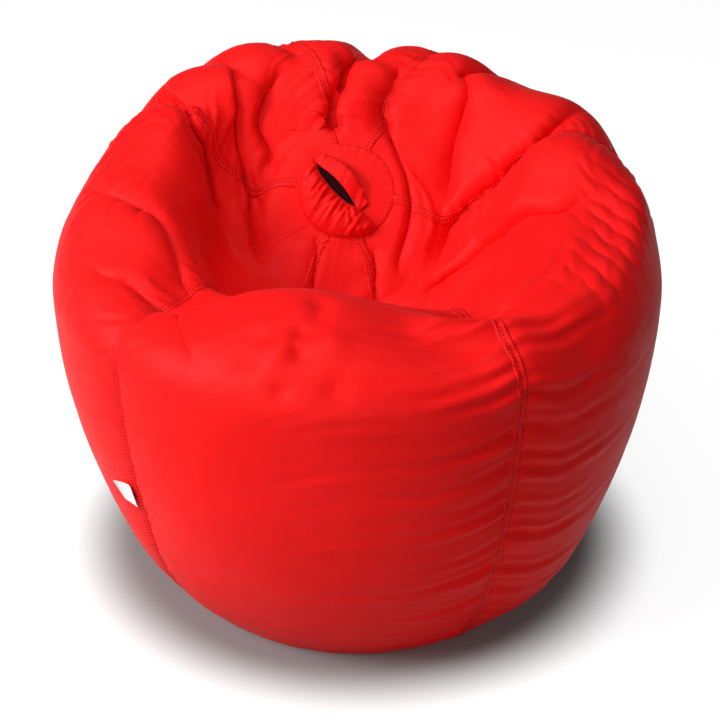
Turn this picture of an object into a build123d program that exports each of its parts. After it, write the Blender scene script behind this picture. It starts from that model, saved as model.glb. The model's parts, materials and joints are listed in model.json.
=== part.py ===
from build123d import *
from math import atan2, cos, degrees, exp, floor, hypot, pi, radians, sin, sqrt, tan
import os

# Bean bag chair: a cover of six full-length gores, pressed into a seat, over a fill of loose beads.
# Millimetres, +Z up, origin on the floor under the middle of the bag, front towards -Y.

# Driving dimensions of the bag's outline.
BELLY_RADIUS = 407.0  # widest ring
BELLY_HEIGHT = 452.0  # height of the widest ring
BASE_RADIUS = 262.0  # round base panel
BASE_LEAN = 50.0  # angle at which the side meets the floor
RIM_RADIUS = 276.0  # ring along the top of the rim
RIM_HEIGHT = 680.0  # highest place of the rim
DROP_AT_SEAMS = (160.0, 168.0, 68.0, 16.0, 0.0, 44.0)  # rim below it at each seam, from front left
DROP_AT_GORES = (130.0, 132.0, 40.0, 6.0, 12.0, 102.0)  # rim below it at each gore's middle, from front
SEAM_START = -36.0  # bearing of the front left seam, 0 is the front and +90 is +X
POLE_X = -16.0  # where the gores' tips meet, on the inside of the backrest
POLE_Y = 118.0
POLE_Z = 520.0
POLE_TILT = 54.0  # backrest slope at the cap
HOLLOW_Y = -60.0  # deepest place of the seat
HOLLOW_Z = 340.0
SIDE_REACH = 135.0  # seat floor beside the cap, from the pole
SIDE_Z = 512.0
SIDE_SLOPE = 22.0
BACK_REACH = 70.0  # backrest above the cap, from the pole
BACK_RISE = 100.0
BACK_SLOPE = 62.0

# Main folds that the pressed seat leaves in the cover, each a valley from the seat to the rim:
# bearing at the seat, half way up the wall and at the rim, and depth.
FOLDS = (
    (-72.0, -86.0, -101.0, 18.0),
    (-90.0, -105.0, -122.0, 12.0),
    (-114.0, -125.0, -148.0, 8.0),
    (192.0, 180.0, 168.0, 24.0),
    (144.0, 144.0, 140.0, 7.0),
    (97.0, 110.0, 124.0, 10.0),
    (74.0, 79.0, 87.0, 16.0),
    (58.0, 58.0, 62.0, 9.0),
)
WALL_SAG = (0.0, 4.0, 0.0)  # how far the cover sags in all round at the seat, the wall and the rim
FOLD_FADE = (10.0, 8.0, 7.0)  # bearing over which a fold fades at the seat, the wall and the rim

# Cloth and sewing.
COVER_THICK = 1.6
BASE_THICK = 1.6
SEWN_GAP = 0.1  # between panels that are sewn flat on each other
FILL_GAP = 4.0  # slack between the cover and the settled beads
ZIP_ROOM = 0.6  # between the zip and the beads over it
GORE_COUNT = 6
SECTION_STEP = 3.75  # bearing between the sections of a loft
CORE_RADIUS = 1.0  # pinhole left along the pole's axis where the fill's sections start
TIP_RADIUS = 58.0  # open ring that the gores' tips leave under the cap
CAP_RADIUS = 68.0
CAP_MARGIN = 6.0  # flat ring of gore cloth outside the cap
STRAP_WIDTH = 24.0
STRAP_THICK = 2.2
STRAP_SPAN = 76.0  # free length between the sewn ends
STRAP_TAB = 10.0  # sewn length at each end
STRAP_RISE = 16.0
STRAP_TURN = -48.0  # direction of the strap across the cap
STRAP_BACK = 14.0  # strap's middle from the cap's middle, along the strap
STRAP_ASIDE = 10.0  # and across it, to the far side of the hand slot
TAG_WIDTH = 22.0
TAG_HEIGHT = 30.0
TAG_THICK = 0.9
TAG_Z = 250.0
TAG_LIFT = 0.35
TAG_FROM_SEAM = 8.0

# Zip across the base.
ZIP_SLOT = 12.0  # gap between the two halves of the base
ZIP_END_MARGIN = 8.0  # from the base's edge to the end of the tapes
FACING_WIDTH = 11.0
FACING_THICK = 3.6
TAPE_THICK = 0.7
TAPE_GAP = 3.2  # between the tapes' beaded edges
TOOTH_PITCH = 8.0
TOOTH_HEIGHT = 2.2
TOOTH_NECK = 2.0
TOOTH_HEAD = 3.2
TOOTH_REACH = 1.4  # past the chain's middle
TOOTH_GRIP = 1.0  # over the tape
STOP_LENGTH = 4.0
STOP_WIDTH = 7.0
STOP_MARGIN = 8.0  # from the end of the tapes to a stop
SLIDER_LENGTH = 13.0
SLIDER_NOSE = 11.0
SLIDER_TAIL = 8.4
SLIDER_PLATE = 1.2
SLIDER_GAP = 0.3
SLIDER_POST = 2.0
SLIDER_LIP = 1.1
LUG_LENGTH = 3.2
LUG_WIDTH = 2.4
PIN_RADIUS = 0.5
PIN_GAP = 0.3
PIN_Z = 1.75
LUG_WALL = 0.45
PULL_LENGTH = 24.0
PULL_WIDTH = 6.4
PULL_THICK = 1.2

os.makedirs("parts", exist_ok=True)


# Outline of the bag in the upright half plane at a bearing, seen from the pole.
def ring(radius, bearing):
    """Distance from the pole's axis to a circle round the bag's middle."""
    along = POLE_Y * cos(bearing) - POLE_X * sin(bearing)
    return along + sqrt(radius**2 - POLE_X**2 - POLE_Y**2 + along**2)


def blend(bearing, front, side, back):
    """A value that runs smoothly from the front over the sides to the back."""
    c = cos(bearing)
    return side + (front - back) / 2 * c + ((front + back) / 2 - side) * c * c


def rim_height(bearing):
    """Rim height between the seams' and gores' heights, on a smooth closed curve."""
    keys = [RIM_HEIGHT - drop for pair in zip(DROP_AT_SEAMS, DROP_AT_GORES) for drop in pair]
    place = (degrees(bearing) - SEAM_START) * len(keys) / 360 % len(keys)
    k = floor(place)
    f = place - k
    a, b, c, d = [keys[(k + step) % len(keys)] for step in (-1, 0, 1, 2)]
    return b + f * (c - a) / 2 + f**2 * (a - 2.5 * b + 2 * c - d / 2) + f**3 * (3 * b - 3 * c + d - a) / 2


def on_cap_plane(bearing, radius):
    """A point of the cap's tilted plane, at a radius measured in that plane."""
    tilt = radians(POLE_TILT)
    out = radius / sqrt(sin(bearing) ** 2 + (cos(bearing) / cos(tilt)) ** 2)
    return out, POLE_Z - out * tan(tilt) * cos(bearing)


def pressed(point, heading, bearing, level):
    """The point moved in by the folds near its bearing; level 0 is the seat, 1 the wall, 2 the rim."""
    depth = WALL_SAG[level]
    for fold in FOLDS:
        apart = (degrees(bearing) - fold[level] + 180) % 360 - 180
        depth += fold[-1] * exp(-((apart / FOLD_FADE[level]) ** 2))
    return point[0] + depth * sin(heading), point[1] - depth * cos(heading)


def knots(bearing, tip_radius):
    """Points and headings of the outline, from the gore's tip to the base."""
    start = on_cap_plane(bearing, tip_radius)
    flat = on_cap_plane(bearing, CAP_RADIUS + CAP_MARGIN)
    slope = atan2(flat[1] - start[1], flat[0] - start[0])
    reach = blend(bearing, POLE_Y - HOLLOW_Y, SIDE_REACH, BACK_REACH)
    low = blend(bearing, HOLLOW_Z, SIDE_Z, POLE_Z + BACK_RISE)
    climb = radians(blend(bearing, 0, SIDE_SLOPE, BACK_SLOPE))
    rim = (ring(RIM_RADIUS, bearing), rim_height(bearing))
    wall = joint_point((reach, low), climb, rim, 0)
    chord = atan2(wall[1] - low, wall[0] - reach)
    rise = climb + 2 * ((chord - climb + pi) % (2 * pi) - pi)
    return [
        (start, slope),
        (flat, slope),
        (pressed((reach, low), climb, bearing, 0), climb),
        (pressed(wall, rise, bearing, 1), rise),
        (pressed(rim, 0, bearing, 2), 0),
        ((ring(BELLY_RADIUS, bearing), BELLY_HEIGHT), -pi / 2),
        ((ring(BASE_RADIUS, bearing), BASE_THICK + SEWN_GAP), -pi + radians(BASE_LEAN)),
    ]


def joint_point(p, a, q, b):
    """Where two tangent arcs meet that leave p at heading a and reach q at heading b."""
    vx, vy = q[0] - p[0], q[1] - p[1]
    tx, ty = cos(a) + cos(b), sin(a) + sin(b)
    square = 2 * (1 - cos(a - b))
    along = 2 * (vx * tx + vy * ty)
    if square < 1e-9:
        d = (vx**2 + vy**2) / along
    else:
        d = (sqrt(along**2 + 4 * square * (vx**2 + vy**2)) - along) / (2 * square)
    return (
        (p[0] + q[0] + d * (cos(a) - cos(b))) / 2,
        (p[1] + q[1] + d * (sin(a) - sin(b))) / 2,
    )


def arcs(stations, inset):
    """Start, middle and end of each arc through the stations, moved inward by the inset."""
    spans = []
    for (p, a), (q, b) in zip(stations, stations[1:]):
        m = joint_point(p, a, q, b)
        straight = abs(sin(atan2(q[1] - p[1], q[0] - p[0]) - a)) < 1e-7 and abs(a - b) < 1e-7
        for start, end in ((p, q),) if straight else ((p, m), (m, q)):
            run, rise = end[0] - start[0], end[1] - start[1]
            chord = atan2(rise, run)
            turn = 2 * ((chord - a + pi) % (2 * pi) - pi)
            sag = hypot(run, rise) / 2 * tan(turn / 4)
            middle = ((start[0] + end[0]) / 2 + sag * sin(chord), (start[1] + end[1]) / 2 - sag * cos(chord))
            spans.append(
                [
                    (x + inset * sin(h), y - inset * cos(h))
                    for (x, y), h in ((start, a), (middle, chord), (end, a + turn))
                ]
            )
            a += turn
    return spans


def draw(spans):
    """The arcs as lines of the sketch, with a line where an arc is straight."""
    for p, m, q in spans:
        bow = (q[0] - p[0]) * (m[1] - p[1]) - (q[1] - p[1]) * (m[0] - p[0])
        if abs(bow) < 1e-4:
            Line(p, q)
        else:
            ThreePointArc(p, m, q)


def draw_band(stations, outer, inner):
    """A closed band between two insets of the same stations."""
    near = arcs(stations, outer)
    far = [span[::-1] for span in arcs(stations, inner)[::-1]]
    draw(near)
    Line(near[-1][2], far[0][0])
    draw(far)
    Line(far[-1][2], near[0][0])


def half_plane(bearing):
    """Upright half plane at a bearing: x runs out from the pole, y is the height."""
    out = Vector(sin(bearing), -cos(bearing), 0)
    return Plane(origin=(POLE_X, POLE_Y, 0), x_dir=out, z_dir=out.cross(Vector(0, 0, 1)))


def bearings(start, sweep):
    """Bearings of the sections of a loft, evenly spaced."""
    steps = round(sweep / SECTION_STEP)
    return [radians(start + sweep * k / steps) for k in range(steps + 1)]


# Six gores, each a lofted strip of cover cloth between two seams.
GORE_NAMES = ("front", "front_right", "back_right", "back", "back_left", "front_left")
GORE_SWEEP = 360 / GORE_COUNT
for number, side in enumerate(GORE_NAMES):
    with BuildPart() as gore:
        for bearing in bearings(SEAM_START + GORE_SWEEP * number, GORE_SWEEP):
            with BuildSketch(half_plane(bearing)):
                with BuildLine():
                    draw_band(knots(bearing, TIP_RADIUS), 0, COVER_THICK)
                make_face()
        loft()
    gore.part.label = "gore_" + side
    export_step(gore.part, "parts/gore_" + side + ".step")

# Round cap over the gores' tips, flat on the backrest.
tilt = radians(POLE_TILT)
cap_normal = Vector(0, -sin(tilt), cos(tilt))
cap_plane = Plane(origin=(POLE_X, POLE_Y, POLE_Z), x_dir=(1, 0, 0), z_dir=cap_normal)
with BuildPart() as top_cap:
    with BuildSketch(cap_plane.offset(SEWN_GAP)):
        Circle(CAP_RADIUS)
    extrude(amount=COVER_THICK)
top_cap.part.label = "top_cap"
export_step(top_cap.part, "parts/top_cap.step")

# Carrying strap: two sewn ends and a free span that stands off the cap.
strap_run = Vector(1, 0, 0).rotate(Axis((0, 0, 0), cap_normal), STRAP_TURN)
strap_foot = Vector(POLE_X, POLE_Y, POLE_Z) + cap_normal * (COVER_THICK + 2 * SEWN_GAP)
strap_foot += cap_normal.cross(strap_run) * STRAP_ASIDE - strap_run * STRAP_BACK
strap_plane = Plane(origin=strap_foot, x_dir=strap_run, z_dir=strap_run.cross(cap_normal))
strap_end = STRAP_SPAN / 2 + STRAP_TAB
strap_line = [
    ((-strap_end, STRAP_THICK), 0),
    ((-STRAP_SPAN / 2, STRAP_THICK), 0),
    ((0, STRAP_RISE + STRAP_THICK), 0),
    ((STRAP_SPAN / 2, STRAP_THICK), 0),
    ((strap_end, STRAP_THICK), 0),
]
with BuildPart() as handle_strap:
    with BuildSketch(strap_plane):
        with BuildLine():
            draw_band(strap_line, 0, STRAP_THICK)
        make_face()
    extrude(amount=STRAP_WIDTH / 2, both=True)
handle_strap.part.label = "handle_strap"
export_step(handle_strap.part, "parts/handle_strap.step")

# Round base in two halves with a slot for the zip between them.
for side, sign in (("front", -1), ("back", 1)):
    with BuildPart() as base:
        with BuildSketch():
            Circle(BASE_RADIUS)
            with Locations((0, -sign * (BASE_RADIUS - ZIP_SLOT / 2))):
                Rectangle(2 * BASE_RADIUS, 2 * BASE_RADIUS, mode=Mode.SUBTRACT)
        extrude(amount=BASE_THICK)
    base.part.label = "base_" + side
    export_step(base.part, "parts/base_" + side + ".step")

# Heights of the zip's layers, from the floor up.
facing_low = BASE_THICK + SEWN_GAP
tape_low = facing_low + FACING_THICK + SEWN_GAP
tape_mid = tape_low + TAPE_THICK / 2
tooth_low = tape_mid - TOOTH_HEIGHT / 2
zip_half = BASE_RADIUS - ZIP_END_MARGIN
tape_edge = TAPE_GAP / 2
facing_edge = ZIP_SLOT / 2 + FACING_WIDTH

# Folded facings that carry the tapes along the slot.
for side, sign in (("front", -1), ("back", 1)):
    with BuildPart() as facing:
        with BuildSketch(Plane.XY.offset(facing_low)):
            with Locations((0, sign * (ZIP_SLOT / 2 + FACING_WIDTH / 2))):
                Rectangle(2 * zip_half, FACING_WIDTH)
        extrude(amount=FACING_THICK)
    facing.part.label = "zip_facing_" + side
    export_step(facing.part, "parts/zip_facing_" + side + ".step")

# Zip chain: two tapes with moulded teeth that stand half a pitch apart.
stop_at = zip_half - STOP_MARGIN - STOP_LENGTH / 2
slider_at = stop_at - STOP_LENGTH / 2 - SLIDER_GAP - SLIDER_LENGTH / 2
post_at = slider_at + SLIDER_LENGTH / 2 - SLIDER_POST
chain_low = -stop_at + STOP_LENGTH / 2 + TOOTH_HEAD
chain_high = post_at - SLIDER_POST - TOOTH_HEAD
tooth_count = floor((chain_high - chain_low) / TOOTH_PITCH - 0.5)
for side, sign in (("front", -1), ("back", 1)):
    shift = TOOTH_PITCH / 4 * sign
    reach = -sign * TOOTH_REACH
    root = sign * (tape_edge + TOOTH_GRIP)
    with BuildPart() as tape:
        with BuildSketch(Plane.XY.offset(tape_low)):
            with Locations((0, sign * (tape_edge + facing_edge) / 2)):
                Rectangle(2 * zip_half, facing_edge - tape_edge)
        extrude(amount=TAPE_THICK)
        with BuildSketch(Plane.XY.offset(tooth_low)):
            with Locations(((chain_low + chain_high) / 2 + shift, 0)):
                with GridLocations(TOOTH_PITCH, 1, tooth_count, 1):
                    Polygon(
                        (-TOOTH_NECK / 2, root),
                        (-TOOTH_HEAD / 2, reach),
                        (TOOTH_HEAD / 2, reach),
                        (TOOTH_NECK / 2, root),
                        align=None,
                    )
        extrude(amount=TOOTH_HEIGHT)
    tape.part.label = "zip_tape_" + side
    export_step(tape.part, "parts/zip_tape_" + side + ".step")

# Stops: clamps with the two tapes in their side grooves.
clamp_height = TOOTH_HEIGHT
for end, place in (("top", stop_at), ("bottom", -stop_at)):
    with BuildPart() as stop:
        with BuildSketch(Plane.YZ.offset(place - STOP_LENGTH / 2)):
            with Locations((0, tape_mid)):
                Rectangle(STOP_WIDTH, clamp_height)
            groove = STOP_WIDTH / 2 - tape_edge + SEWN_GAP
            with Locations((STOP_WIDTH / 2 - groove / 2, tape_mid), (groove / 2 - STOP_WIDTH / 2, tape_mid)):
                Rectangle(groove, TAPE_THICK + 2 * SEWN_GAP, mode=Mode.SUBTRACT)
        extrude(amount=STOP_LENGTH)
    stop.part.label = "zip_" + end + "_stop"
    export_step(stop.part, "parts/zip_" + end + "_stop.step")

# Slider: two shield-shaped plates on a post, lips along the chain and a lug for the pull.
plate_high = tooth_low + TOOTH_HEIGHT + SLIDER_GAP
plate_low = tooth_low - SLIDER_GAP - SLIDER_PLATE
lip_height = (TOOTH_HEIGHT - TAPE_THICK) / 2 - SLIDER_GAP
back_x = slider_at - SLIDER_LENGTH / 2
front_x = slider_at + SLIDER_LENGTH / 2
shield = [
    (back_x, SLIDER_TAIL / 2),
    (slider_at, SLIDER_TAIL / 2),
    (front_x, SLIDER_NOSE / 2),
    (front_x, -SLIDER_NOSE / 2),
    (slider_at, -SLIDER_TAIL / 2),
    (back_x, -SLIDER_TAIL / 2),
]
with BuildPart() as zip_slider:
    with BuildSketch(Plane.XY.offset(plate_low), Plane.XY.offset(plate_high)):
        with BuildLine():
            Polyline(*shield, close=True)
        make_face()
    extrude(amount=SLIDER_PLATE)
    corners = zip_slider.edges().filter_by(Axis.Z).group_by(Axis.X)
    fillet(corners[0] + corners[-1], SLIDER_LIP)
    with BuildSketch(Plane.XY.offset(plate_low + SLIDER_PLATE)):
        with Locations((post_at, 0)):
            Circle(SLIDER_POST / 2)
    extrude(amount=plate_high - plate_low - SLIDER_PLATE)
    for foot in (plate_low + SLIDER_PLATE, plate_high - lip_height - SLIDER_GAP):
        with BuildSketch(Plane.XY.offset(foot)):
            lip_y = SLIDER_TAIL / 2 - SLIDER_LIP / 2
            with Locations((slider_at - SLIDER_LENGTH / 4 + SLIDER_LIP / 2, lip_y)):
                Rectangle(SLIDER_LENGTH / 2 - SLIDER_LIP, SLIDER_LIP)
            with Locations((slider_at - SLIDER_LENGTH / 4 + SLIDER_LIP / 2, -lip_y)):
                Rectangle(SLIDER_LENGTH / 2 - SLIDER_LIP, SLIDER_LIP)
        extrude(amount=lip_height + SLIDER_GAP)
    with BuildSketch(Plane.XZ.offset(-LUG_WIDTH / 2)):
        with Locations((slider_at, PIN_Z)):
            Circle(PIN_RADIUS + PIN_GAP + LUG_WALL)
        with Locations((slider_at, (PIN_Z + plate_low) / 2)):
            Rectangle(2 * (PIN_RADIUS + PIN_GAP + LUG_WALL), plate_low - PIN_Z)
        with Locations((slider_at, PIN_Z)):
            Circle(PIN_RADIUS + PIN_GAP, mode=Mode.SUBTRACT)
    extrude(amount=LUG_WIDTH)
zip_slider.part.label = "zip_slider"
export_step(zip_slider.part, "parts/zip_slider.step")

# Pull tab: a pin through the lug, two arms and a rounded blade that lies along the slot.
arm_in = LUG_WIDTH / 2 + PIN_GAP
with BuildPart() as zip_pull:
    with BuildSketch(Plane.XY.offset(PIN_Z - PULL_THICK / 2)):
        with Locations((slider_at + PULL_THICK / 2 - PULL_LENGTH / 2, 0)):
            RectangleRounded(PULL_LENGTH, PULL_WIDTH, PULL_THICK)
        with Locations((slider_at, 0)):
            Rectangle(2 * (LUG_LENGTH + PIN_GAP), 2 * arm_in, mode=Mode.SUBTRACT)
        with Locations((slider_at + PULL_WIDTH / 2 + PULL_THICK / 2 - PULL_LENGTH, 0)):
            Circle(PULL_WIDTH / 4, mode=Mode.SUBTRACT)
    extrude(amount=PULL_THICK)
    with BuildSketch(Plane.XZ.offset(-PULL_WIDTH / 2)):
        with Locations((slider_at, PIN_Z)):
            Circle(PIN_RADIUS)
    extrude(amount=PULL_WIDTH)
zip_pull.part.label = "zip_pull"
export_step(zip_pull.part, "parts/zip_pull.step")


# Blank label sewn into the front left seam.
def side_point(bearing, height):
    """Point of the cover's side at a bearing and a height below the belly."""
    for p, m, q in arcs(knots(bearing, TIP_RADIUS), 0)[-2:]:
        if q[1] <= height <= p[1]:
            ax, ay, bx, by = m[0] - p[0], m[1] - p[1], q[0] - p[0], q[1] - p[1]
            cross = 2 * (ax * by - ay * bx)
            cx = (by * (ax**2 + ay**2) - ay * (bx**2 + by**2)) / cross
            cy = (ax * (bx**2 + by**2) - bx * (ax**2 + ay**2)) / cross
            out = p[0] + cx + sqrt(cx**2 + cy**2 - (height - p[1] - cy) ** 2)
            return Vector(POLE_X + out * sin(bearing), POLE_Y - out * cos(bearing), height)


seam = radians(SEAM_START)
seam_out = (side_point(seam, TAG_Z) - Vector(POLE_X, POLE_Y, TAG_Z)).length
tag_bearing = seam - (TAG_FROM_SEAM + TAG_WIDTH / 2) / seam_out
tag_step = TAG_WIDTH / 4 / seam_out
tag_along = side_point(tag_bearing + tag_step, TAG_Z) - side_point(tag_bearing - tag_step, TAG_Z)
tag_up = side_point(tag_bearing, TAG_Z + TAG_HEIGHT / 4) - side_point(tag_bearing, TAG_Z - TAG_HEIGHT / 4)
tag_normal = tag_along.cross(tag_up).normalized()
tag_foot = side_point(tag_bearing, TAG_Z) + tag_normal * TAG_LIFT
tag_plane = Plane(origin=tag_foot, x_dir=tag_along, z_dir=tag_normal)
with BuildPart() as seam_tag:
    with BuildSketch(tag_plane):
        Rectangle(TAG_WIDTH, TAG_HEIGHT)
    extrude(amount=TAG_THICK)
seam_tag.part.label = "seam_tag"
export_step(seam_tag.part, "parts/seam_tag.step")
tag_hinge = tag_plane.from_local_coords(Vector(TAG_WIDTH / 2, 0, TAG_THICK / 2))
print("tag hinge", tuple(tag_hinge), "axis", tuple(tag_plane.y_dir))

# Bead fill: the loose beads as one body that fills the cover, with a groove over the zip.
fill_in = COVER_THICK + FILL_GAP
fill_low = BASE_THICK + 3 * SEWN_GAP
tunnel_half = facing_edge + ZIP_ROOM
tunnel_roof = plate_high + SLIDER_PLATE + ZIP_ROOM
fill_sections = []
for bearing in bearings(SEAM_START, 360)[:-1]:
    outline = arcs(knots(bearing, CORE_RADIUS), fill_in)
    foot = outline[-1][2]
    top = outline[0][0]
    with BuildSketch(half_plane(bearing)) as slice_of_fill:
        with BuildLine():
            draw(outline)
            Line(foot, (foot[0], fill_low))
            Line((foot[0], fill_low), (CORE_RADIUS, fill_low))
            Line((CORE_RADIUS, fill_low), top)
        make_face()
    fill_sections.append(slice_of_fill.sketch.face())
with BuildPart() as bead_fill:
    loft(sections=fill_sections + fill_sections[:1])
    with BuildSketch(Plane.XY):
        Rectangle(2 * BELLY_RADIUS, 2 * tunnel_half)
    extrude(amount=tunnel_roof, mode=Mode.SUBTRACT)
bead_fill.part.label = "bead_fill"
export_step(bead_fill.part, "parts/bead_fill.step")
print("bead fill litres", bead_fill.part.volume / 1e6)
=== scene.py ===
# %% [markdown]
# # A red bean bag chair
# A bean bag is a sewn cover of long cloth strips, called gores, over loose beads. This lesson
# dresses the measured model of one: the rigid zip parts keep their shape and get a finish, and
# every piece of cloth is modelled anew, with its folds, seams and stitches.

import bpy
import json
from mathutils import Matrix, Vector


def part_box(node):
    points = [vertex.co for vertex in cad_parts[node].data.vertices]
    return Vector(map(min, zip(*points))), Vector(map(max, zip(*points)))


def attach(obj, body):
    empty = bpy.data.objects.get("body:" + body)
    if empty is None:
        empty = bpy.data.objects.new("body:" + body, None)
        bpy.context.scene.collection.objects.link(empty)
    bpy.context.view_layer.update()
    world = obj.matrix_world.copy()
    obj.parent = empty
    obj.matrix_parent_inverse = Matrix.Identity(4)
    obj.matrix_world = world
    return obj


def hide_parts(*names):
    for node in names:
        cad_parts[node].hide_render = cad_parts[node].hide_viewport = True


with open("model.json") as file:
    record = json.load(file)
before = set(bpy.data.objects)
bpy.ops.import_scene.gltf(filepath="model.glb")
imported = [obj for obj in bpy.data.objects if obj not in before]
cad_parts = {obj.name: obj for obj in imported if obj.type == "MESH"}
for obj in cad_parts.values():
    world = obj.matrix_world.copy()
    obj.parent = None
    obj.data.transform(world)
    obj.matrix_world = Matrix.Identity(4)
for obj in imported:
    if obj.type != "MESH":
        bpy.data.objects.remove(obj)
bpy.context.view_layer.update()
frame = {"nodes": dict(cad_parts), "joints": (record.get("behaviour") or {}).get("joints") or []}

import json
from math import atan2, cos, degrees, exp, floor, hypot, pi, radians, sin, sqrt, tan

import bpy
import numpy as np
from mathutils import Matrix, Vector

# %% [markdown]
# ## The form of the bag
# The cloth follows one smooth form: in every upright half plane through the pole, where the gores'
# tips meet, the outline is a chain of tangent arcs. It runs from the cap down into the seat, up the
# wall and over the rim, out to the belly and down to the base. A place on the form is a bearing (0 is
# the front, +90 is the right) and a step along the outline: 0 tip, 1 cap's edge, 2 seat, 2.5 wall,
# 3 rim, 4 belly, 5 base. It could be sculpted by hand, but a formula keeps the cloth on the solids.

# %% Sizes of the form, in metres
BELLY_RADIUS, BELLY_HEIGHT = 0.407, 0.452
BASE_RADIUS, BASE_LEAN, BASE_THICK = 0.262, radians(50), 0.0016
RIM_RADIUS, RIM_HEIGHT = 0.276, 0.680
DROP_AT_SEAMS = (0.160, 0.168, 0.068, 0.016, 0.0, 0.044)
DROP_AT_GORES = (0.130, 0.132, 0.040, 0.006, 0.012, 0.102)
SEAM_START, GORE_SWEEP = -36.0, 60.0
POLE = Vector((-0.016, 0.118, 0.520))
POLE_TILT = radians(54)
TIP_RADIUS, FLAT_RADIUS, CAP_RADIUS = 0.058, 0.074, 0.068
# the seat's reach from the pole, its height and its slope, at the front, the sides and the back
SEAT_REACH = (POLE.y + 0.060, 0.135, 0.070)
SEAT_HEIGHT = (0.340, 0.512, POLE.z + 0.100)
SEAT_CLIMB = (0, radians(22), radians(62))
GORES = ("front", "front_right", "back_right", "back", "back_left", "front_left")
# main folds: bearing at the seat, the wall and the rim, and depth
MAIN_FOLDS = (
    (-72, -86, -101, 0.018),
    (-90, -105, -122, 0.012),
    (-114, -125, -148, 0.008),
    (192, 180, 168, 0.024),
    (144, 144, 140, 0.007),
    (97, 110, 124, 0.010),
    (74, 79, 87, 0.016),
    (58, 58, 62, 0.009),
)
WALL_SAG, FOLD_FADE = (0, 0.004, 0), (10, 8, 7)


# %% Outline of the form at a bearing
def ring(radius, bearing):
    """Distance from the pole's axis to a circle round the bag's middle."""
    along = POLE.y * cos(bearing) - POLE.x * sin(bearing)
    return along + sqrt(radius**2 - POLE.x**2 - POLE.y**2 + along**2)


def blend(bearing, front, side, back):
    """A value that runs smoothly from the front over the sides to the back."""
    c = cos(bearing)
    return side + (front - back) / 2 * c + ((front + back) / 2 - side) * c * c


def rim_height(bearing):
    """Rim height on a smooth closed curve through the heights at seams and gores."""
    keys = [RIM_HEIGHT - drop for pair in zip(DROP_AT_SEAMS, DROP_AT_GORES) for drop in pair]
    place = (degrees(bearing) - SEAM_START) * len(keys) / 360 % len(keys)
    k = floor(place)
    f = place - k
    a, b, c, d = [keys[(k + step) % len(keys)] for step in (-1, 0, 1, 2)]
    return b + f * (c - a) / 2 + f**2 * (a - 2.5 * b + 2 * c - d / 2) + f**3 * (3 * b - 3 * c + d - a) / 2


def on_cap_plane(bearing, radius):
    """A point of the cap's tilted plane, at a radius measured in that plane."""
    out = radius / sqrt(sin(bearing) ** 2 + (cos(bearing) / cos(POLE_TILT)) ** 2)
    return out, POLE.z - out * tan(POLE_TILT) * cos(bearing)


def pressed(point, heading, bearing, level):
    """The point moved in by the main folds near its bearing."""
    depth = WALL_SAG[level]
    for fold in MAIN_FOLDS:
        apart = (degrees(bearing) - fold[level] + 180) % 360 - 180
        depth += fold[3] * exp(-((apart / FOLD_FADE[level]) ** 2))
    return point[0] + depth * sin(heading), point[1] - depth * cos(heading)


def joint_point(p, a, q, b):
    """Where two tangent arcs meet that leave p at heading a and reach q at heading b."""
    vx, vy = q[0] - p[0], q[1] - p[1]
    along = 2 * (vx * (cos(a) + cos(b)) + vy * (sin(a) + sin(b)))
    square = 2 * (1 - cos(a - b))
    if square < 1e-9:
        d = (vx**2 + vy**2) / along
    else:
        d = (sqrt(along**2 + 4 * square * (vx**2 + vy**2)) - along) / (2 * square)
    return (p[0] + q[0] + d * (cos(a) - cos(b))) / 2, (p[1] + q[1] + d * (sin(a) - sin(b))) / 2


def stations(bearing):
    """Steps, points and headings of the outline from the gore's tip to the base."""
    start, flat = on_cap_plane(bearing, TIP_RADIUS), on_cap_plane(bearing, FLAT_RADIUS)
    slope = atan2(flat[1] - start[1], flat[0] - start[0])
    seat = (blend(bearing, *SEAT_REACH), blend(bearing, *SEAT_HEIGHT))
    climb = blend(bearing, *SEAT_CLIMB)
    rim = (ring(RIM_RADIUS, bearing), rim_height(bearing))
    wall = joint_point(seat, climb, rim, 0)
    chord = atan2(wall[1] - seat[1], wall[0] - seat[0])
    rise = climb + 2 * ((chord - climb + pi) % (2 * pi) - pi)
    return [
        (0, start, slope),
        (1, flat, slope),
        (2, pressed(seat, climb, bearing, 0), climb),
        (2.5, pressed(wall, rise, bearing, 1), rise),
        (3, pressed(rim, 0, bearing, 2), 0),
        (4, (ring(BELLY_RADIUS, bearing), BELLY_HEIGHT), -pi / 2),
        (5, (ring(BASE_RADIUS, bearing), BASE_THICK), -pi + BASE_LEAN),
    ]


def outline(bearing, places):
    """Distance from the pole and height at each place along one bearing's outline."""
    arcs = []
    knots = stations(bearing)
    for (first, p, a), (last, q, b) in zip(knots, knots[1:]):
        m = joint_point(p, a, q, b)
        middle = (first + last) / 2
        for low, high, start, end in ((first, middle, p, m), (middle, last, m, q)):
            run, rise = end[0] - start[0], end[1] - start[1]
            turn = 2 * ((atan2(rise, run) - a + pi) % (2 * pi) - pi)
            arcs.append((low, high, start, a, turn, hypot(run, rise)))
            a += turn
    found, k = [], 0
    for place in places:
        while place > arcs[k][1] and k < len(arcs) - 1:
            k += 1
        low, high, start, a, turn, chord = arcs[k]
        share = (place - low) / (high - low)
        reach = chord * (share if abs(turn) < 1e-6 else sin(turn * share / 2) / sin(turn / 2))
        heading = a + turn * share / 2
        found.append((start[0] + reach * cos(heading), start[1] + reach * sin(heading)))
    return np.array(found)


# %% [markdown]
# A grid of points over the whole form is the cutting pattern. Everything that shapes the cloth later
# moves these points.

# %% Lay the grid on the form
COLUMNS = 36  # in each gore
COUNTS = {0: 3, 1: 18, 2: 28, 3: 26, 4: 48}
STEPS = np.append(np.concatenate([np.linspace(k, k + 1, n, endpoint=False) for k, n in COUNTS.items()]), 5.0)


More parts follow.
